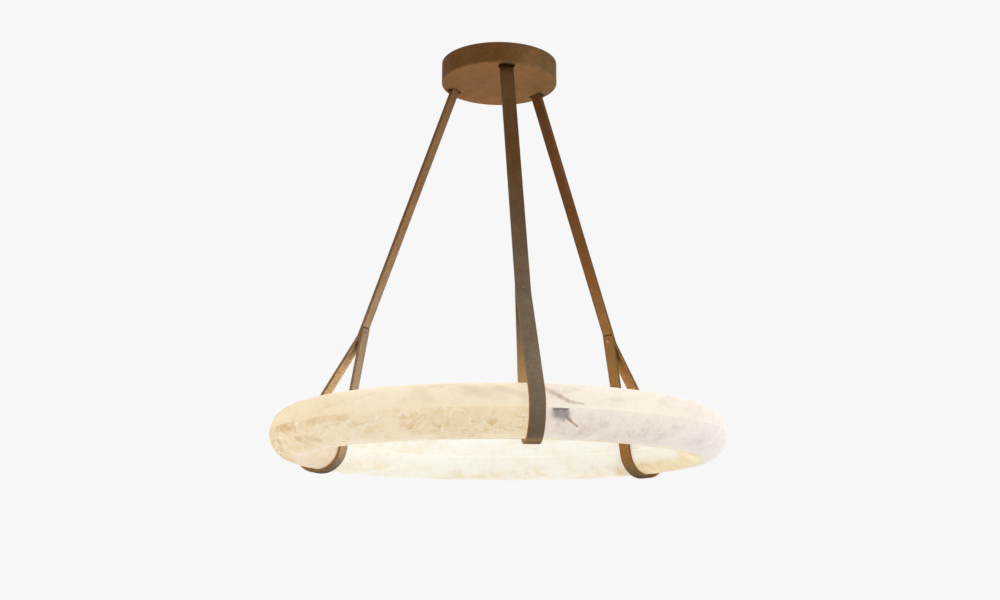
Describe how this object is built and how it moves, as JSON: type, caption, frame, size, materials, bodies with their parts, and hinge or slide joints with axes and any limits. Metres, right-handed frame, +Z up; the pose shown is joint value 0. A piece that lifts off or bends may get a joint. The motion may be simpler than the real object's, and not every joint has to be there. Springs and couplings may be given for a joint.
{
  "type": "pendant lamp",
  "caption": "Hollow alabaster ring lit from inside, hung by flat bronze straps that loop round it from a drum canopy screwed to the ceiling.",
  "frame": {"origin": "centre of the ceiling plate's upper face, where it meets the ceiling", "axes": "+Z up along the lamp's axis, the front strap towards -Y"},
  "size_m": [0.8, 0.8078, 0.7548],
  "materials": {
    "bronze": "matt brown bronze patina",
    "rivet_metal": "worn bare bronze",
    "steel": "zinc plated",
    "alabaster": "honed, translucent, veined",
    "liner": "matt",
    "black_rubber": "matt",
    "white_plastic": "matt",
    "grey_plastic": "matt",
    "lever_plastic": "satin",
    "band": "rolled",
    "led_jacket": "milky silicone"
  },
  "bodies": {
    "canopy": {"ceiling_plate": "steel", "canopy_cup": "bronze", "side_screws": "bronze", "strap_clevises": "steel", "clevis_rivets": "steel", "strap_pins": "steel", "pin_clips": "steel", "cable_bushing": "black_rubber", "led_driver": "white_plastic", "driver_covers": "grey_plastic", "driver_screws": "steel", "terminal_block": "grey_plastic", "terminal_screws": "steel", "lever_axle": "steel", "earth_screw": "steel"},
    "ring": {"upper_shell_right": "alabaster", "upper_shell_rear": "alabaster", "upper_shell_left": "alabaster", "lower_shell_right": "alabaster", "lower_shell_rear": "alabaster", "lower_shell_left": "alabaster", "joint_dowels": "steel", "led_carrier": "band", "led_strip": "led_jacket", "carrier_clips": "white_plastic", "inlet_gland": "black_rubber"},
    "strap_front": {"strap_front": "bronze", "rivet_front": "rivet_metal", "pad_front": "liner"},
    "strap_right": {"strap_right": "bronze", "rivet_right": "rivet_metal", "pad_right": "liner"},
    "strap_left": {"strap_left": "bronze", "rivet_left": "rivet_metal", "pad_left": "liner"},
    "lever_live": {"lever_live": "lever_plastic"},
    "lever_neutral": {"lever_neutral": "lever_plastic"},
    "lever_earth": {"lever_earth": "lever_plastic"}
  },
  "joints": [
    {"name": "ring_sway", "type": "hinge", "parent": "canopy", "child": "ring", "pos_m": [0, 0, 0.18648], "axis": [1, 0, 0], "range_deg": [-1, 1]},
    {"name": "strap_front_hinge", "type": "hinge", "parent": "canopy", "child": "strap_front", "pos_m": [0, -0.082, -0.018], "axis": [1, 0, 0], "range_deg": [-1.36, 1.36]},
    {"name": "strap_right_hinge", "type": "hinge", "parent": "canopy", "child": "strap_right", "pos_m": [0.07101, 0.041, -0.018], "axis": [-0.5, 0.866, 0], "range_deg": [-0.68, 0.68]},
    {"name": "strap_left_hinge", "type": "hinge", "parent": "canopy", "child": "strap_left", "pos_m": [-0.07101, 0.041, -0.018], "axis": [-0.5, -0.866, 0], "range_deg": [-0.68, 0.68]},
    {"name": "lever_live_flip", "type": "hinge", "parent": "canopy", "child": "lever_live", "pos_m": [-0.0124, -0.0315, -0.0165], "axis": [1, 0, 0], "range_deg": [0, 80]},
    {"name": "lever_neutral_flip", "type": "hinge", "parent": "canopy", "child": "lever_neutral", "pos_m": [0, -0.0315, -0.0165], "axis": [1, 0, 0], "range_deg": [0, 80]},
    {"name": "lever_earth_flip", "type": "hinge", "parent": "canopy", "child": "lever_earth", "pos_m": [0.0124, -0.0315, -0.0165], "axis": [1, 0, 0], "range_deg": [0, 80]}
  ],
  "couplings": [
    {"joint": "strap_front_hinge", "follows": "ring_sway", "ratio": 1.2976},
    {"joint": "strap_right_hinge", "follows": "ring_sway", "ratio": -0.64882},
    {"joint": "strap_left_hinge", "follows": "ring_sway", "ratio": -0.64882}
  ]
}
